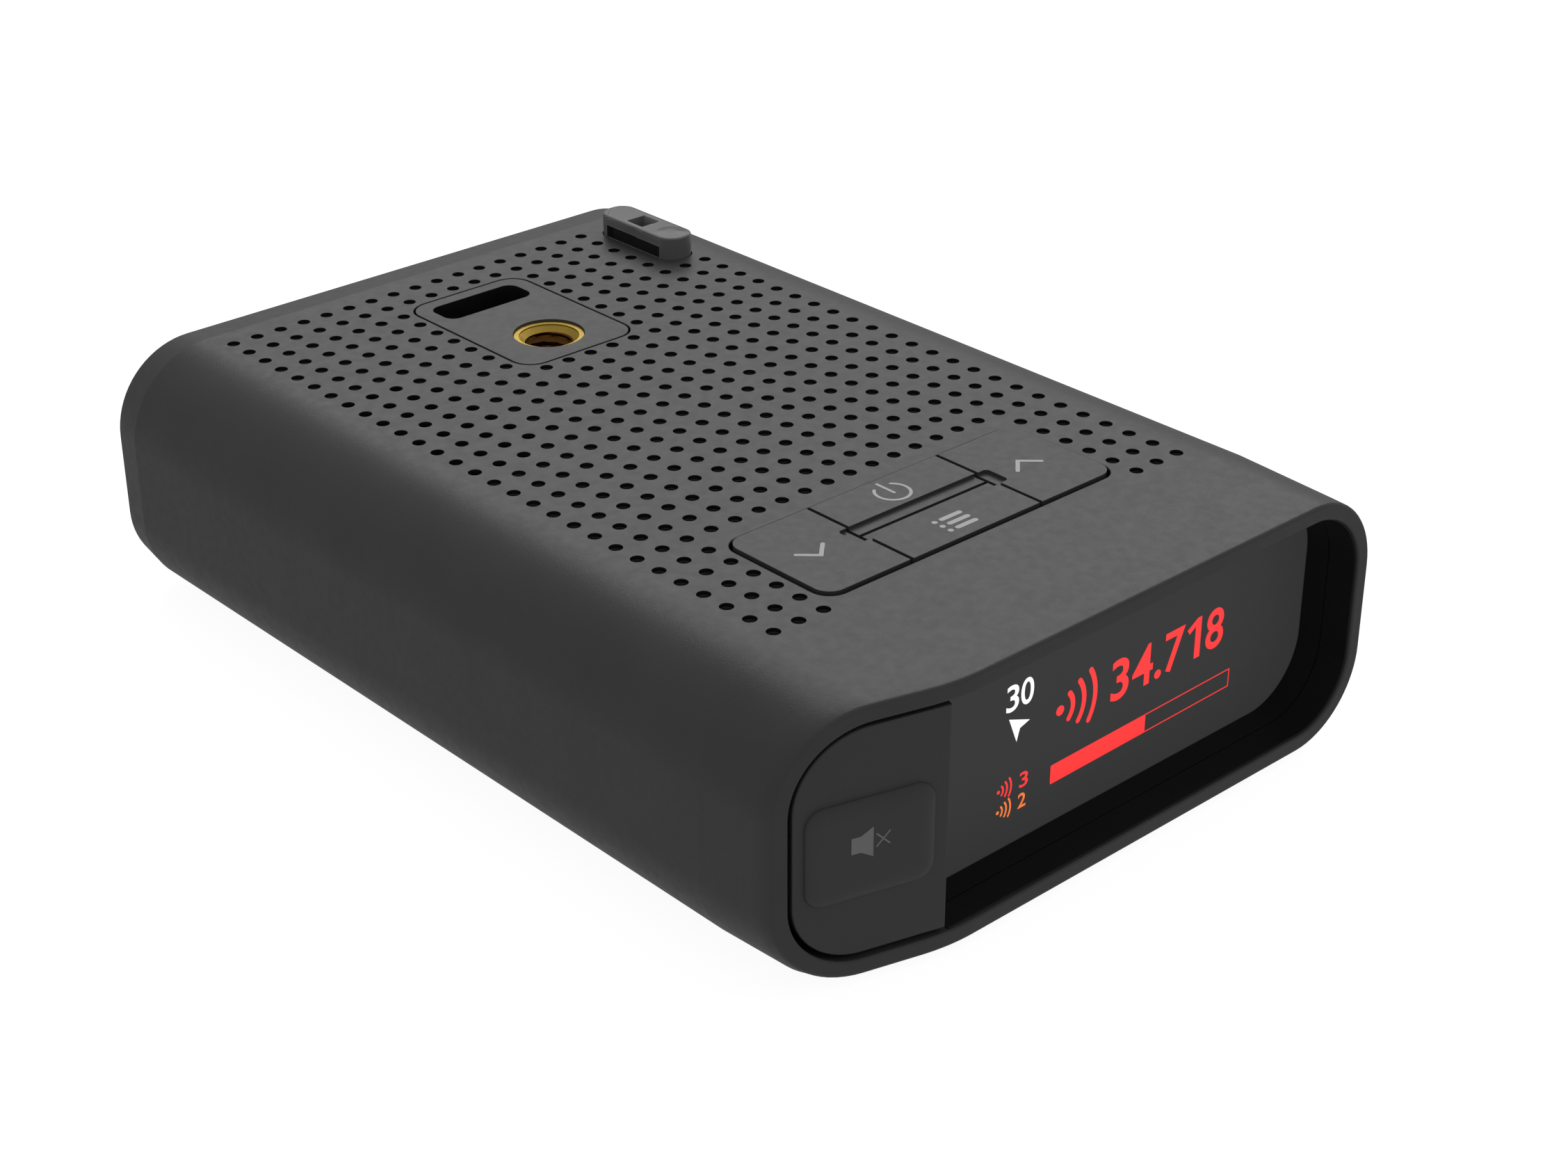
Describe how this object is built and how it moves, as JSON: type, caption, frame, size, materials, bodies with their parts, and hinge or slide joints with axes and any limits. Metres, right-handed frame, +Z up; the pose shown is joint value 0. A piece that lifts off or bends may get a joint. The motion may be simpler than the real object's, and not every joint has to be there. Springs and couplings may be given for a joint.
{
  "type": "radar detector",
  "caption": "Flat dark-grey windshield radar detector with a perforated top, keypad, threaded mount plate, side mute button, recessed display and rear laser lens.",
  "frame": {"origin": "middle of the underside, on the surface the detector lies on", "axes": "+Z up, +Y towards the road end, +X to the right as the driver faces the display"},
  "size_m": [0.0796, 0.1142, 0.0325],
  "materials": {
    "housing_plastic": "dark grey moulded plastic with a fine satin grain",
    "trim_plastic": "dark grey plastic, slightly smoother than the housing",
    "liner_plastic": "black moulded plastic",
    "window_glass": "tinted acrylic window",
    "road_window_glass": "gloss, infrared-clear black plastic",
    "display_face": "black display face with lit segments",
    "circuit_board": "green solder-masked board",
    "brass": "turned brass",
    "steel": "zinc plated steel",
    "black_screws": "blackened steel",
    "silicone": "translucent silicone rubber",
    "foam": "black closed-cell foam",
    "smoke_lens": "smoke-tinted polycarbonate",
    "red_lens": "deep red infrared lens",
    "chip_epoxy": "black chip epoxy",
    "capacitor_sleeve": "printed-free dark sleeve with a bare top",
    "ceramic": "sintered ceramic",
    "cast_zinc": "die-cast zinc, as cast",
    "speaker_paper": "black paper cone",
    "gold_contacts": "gold-plated contacts",
    "polyimide": "amber polyimide flex",
    "label_film": "blank silver film label"
  },
  "bodies": {
    "body": {"upper_housing": "housing_plastic", "bottom_cover": "housing_plastic", "mount_block": "trim_plastic", "display_bezel": "liner_plastic", "display_frame": "liner_plastic", "speaker_frame": "liner_plastic", "laser_housing": "liner_plastic", "mute_bracket": "liner_plastic", "power_jack": "liner_plastic", "display_window": "window_glass", "road_window": "road_window_glass", "display_panel": "display_face", "display_board": "circuit_board", "mute_board": "circuit_board", "keypad_board": "circuit_board", "rear_sensor_board": "circuit_board", "main_board": "circuit_board", "radio_board": "circuit_board", "mount_insert": "brass", "mount_bracket": "steel", "mount_screws": "steel", "keypad_screws": "steel", "board_screws": "steel", "horn_screws": "steel", "mute_switch": "steel", "key_switches": "steel", "shield_can": "steel", "radio_shield": "steel", "cell_clip": "steel", "backup_cell": "steel", "speaker_magnet": "steel", "data_port": "steel", "cover_screws": "black_screws", "mute_dome": "silicone", "key_membrane": "silicone", "speaker_gasket": "foam", "rear_lens_seal": "foam", "rear_lens": "smoke_lens", "laser_lens": "red_lens", "processor": "chip_epoxy", "memory_chips": "chip_epoxy", "inductor": "chip_epoxy", "laser_sensor": "chip_epoxy", "rear_sensor": "chip_epoxy", "capacitors": "capacitor_sleeve", "satellite_antenna": "ceramic", "horn_antenna": "cast_zinc", "speaker_cone": "speaker_paper", "jack_contacts": "gold_contacts", "display_ribbon": "polyimide", "rating_label": "label_film"},
    "power_button": {"power_key": "trim_plastic"},
    "menu_button": {"menu_key": "trim_plastic"},
    "down_button": {"down_key": "trim_plastic"},
    "up_button": {"up_key": "trim_plastic"},
    "mute": {"mute_button": "housing_plastic"}
  },
  "joints": [
    {"name": "power_button_press", "type": "slide", "parent": "body", "child": "power_button", "axis": [0, 0, -1], "range_m": [0, 0.0005], "stiffness_N_per_m": 300, "springref_m": -0.0005},
    {"name": "menu_button_press", "type": "slide", "parent": "body", "child": "menu_button", "axis": [0, 0, -1], "range_m": [0, 0.0005], "stiffness_N_per_m": 300, "springref_m": -0.0005},
    {"name": "down_button_press", "type": "slide", "parent": "body", "child": "down_button", "axis": [0, 0, -1], "range_m": [0, 0.0005], "stiffness_N_per_m": 300, "springref_m": -0.0005},
    {"name": "up_button_press", "type": "slide", "parent": "body", "child": "up_button", "axis": [0, 0, -1], "range_m": [0, 0.0005], "stiffness_N_per_m": 300, "springref_m": -0.0005},
    {"name": "mute_press", "type": "slide", "parent": "body", "child": "mute", "axis": [0.2723, 0.9622, 0], "range_m": [0, 0.0005], "stiffness_N_per_m": 300, "springref_m": -0.0005}
  ]
}
